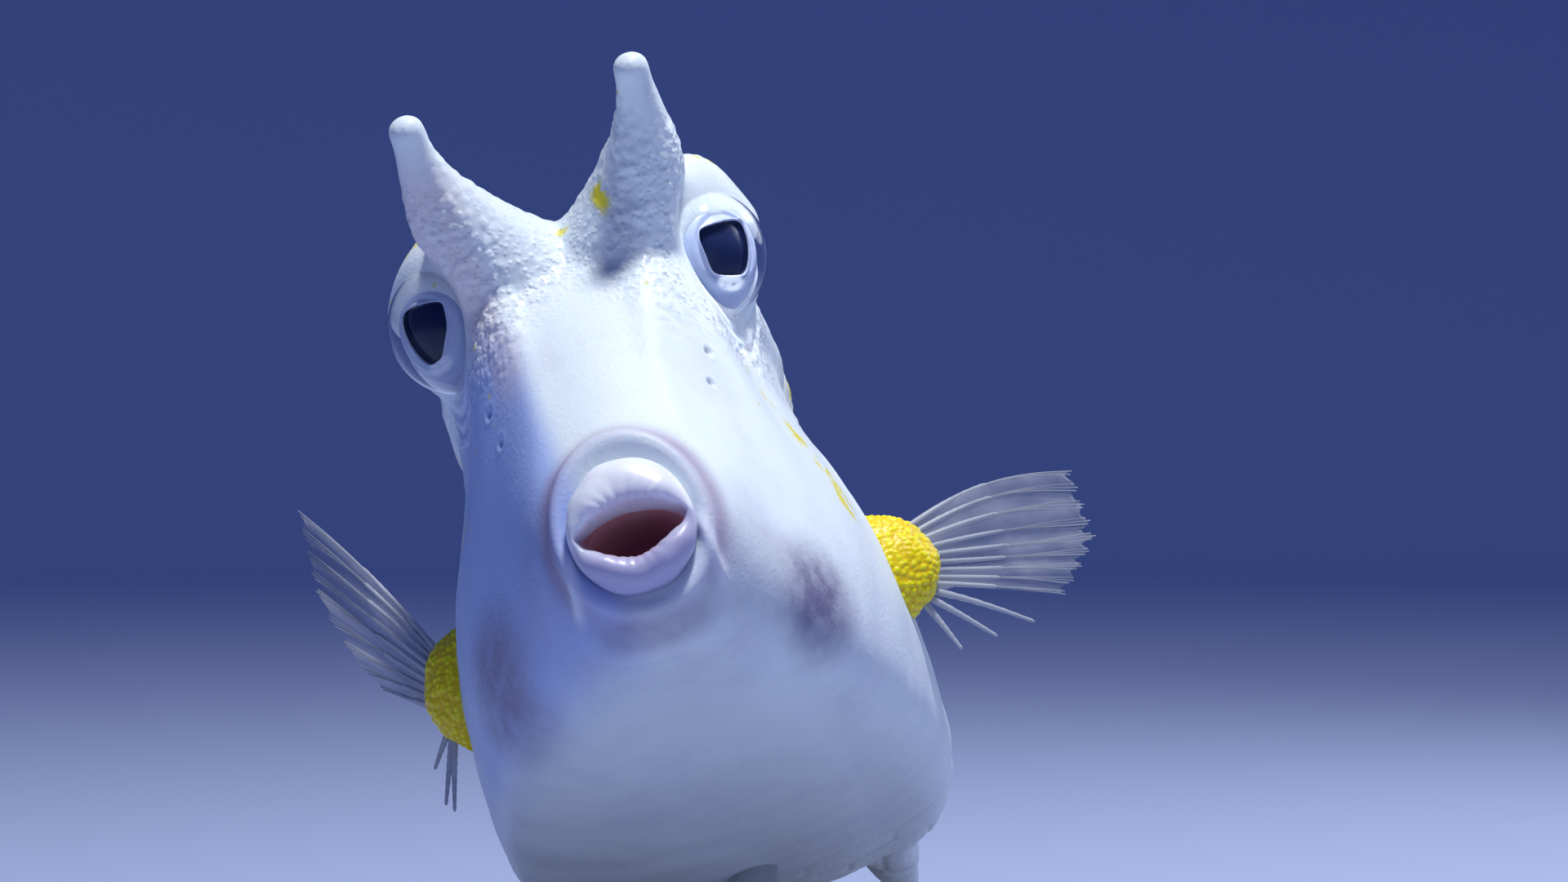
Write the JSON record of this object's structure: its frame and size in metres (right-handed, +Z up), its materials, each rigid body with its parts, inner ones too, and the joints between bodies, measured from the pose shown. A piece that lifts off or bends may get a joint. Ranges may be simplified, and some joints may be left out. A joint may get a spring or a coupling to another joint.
{
  "type": "longhorn cowfish display model",
  "caption": "Life-size longhorn cowfish with brow and belly horns, plated shell and fanned fins, banked on a plain display stand.",
  "frame": {"origin": "middle of the underside of the stand's base, on the floor", "axes": "+Z up; the nose points towards -Y and slightly up; the fish's left side is towards +X"},
  "size_m": [0.088, 0.164, 0.1011],
  "materials": {
    "skin": "pale blue-white fish skin over bony plates, satin",
    "lip": "smooth fleshy lavender-white lips, dark red inside",
    "horn": "white granular horn with round tips",
    "eye": "milky iris with a black pupil under a clear dome",
    "yellow_flesh": "bright yellow fleshy fin root, finely granular",
    "fin": "clear fin web with pale rays",
    "stand_wood": "dark stained wood, satin lacquer",
    "stand_metal": "satin steel rod"
  },
  "bodies": {
    "root": {"head": "skin", "lips": "lip", "trunk_front": "skin", "trunk_rear": "skin", "tail_stalk": "skin", "tail_fin": "fin", "dorsal_fin": "fin", "anal_fin": "fin", "horn_left": "horn", "horn_right": "horn", "belly_horn_left": "horn", "belly_horn_right": "horn", "eye_left": "eye", "eye_right": "eye", "pectoral_base_left": "yellow_flesh", "pectoral_base_right": "yellow_flesh", "pectoral_fin_left": "fin", "pectoral_fin_right": "fin", "stand_base": "stand_wood", "stand_rod_front": "stand_metal", "stand_rod_rear": "stand_metal"}
  },
  "joints": []
}
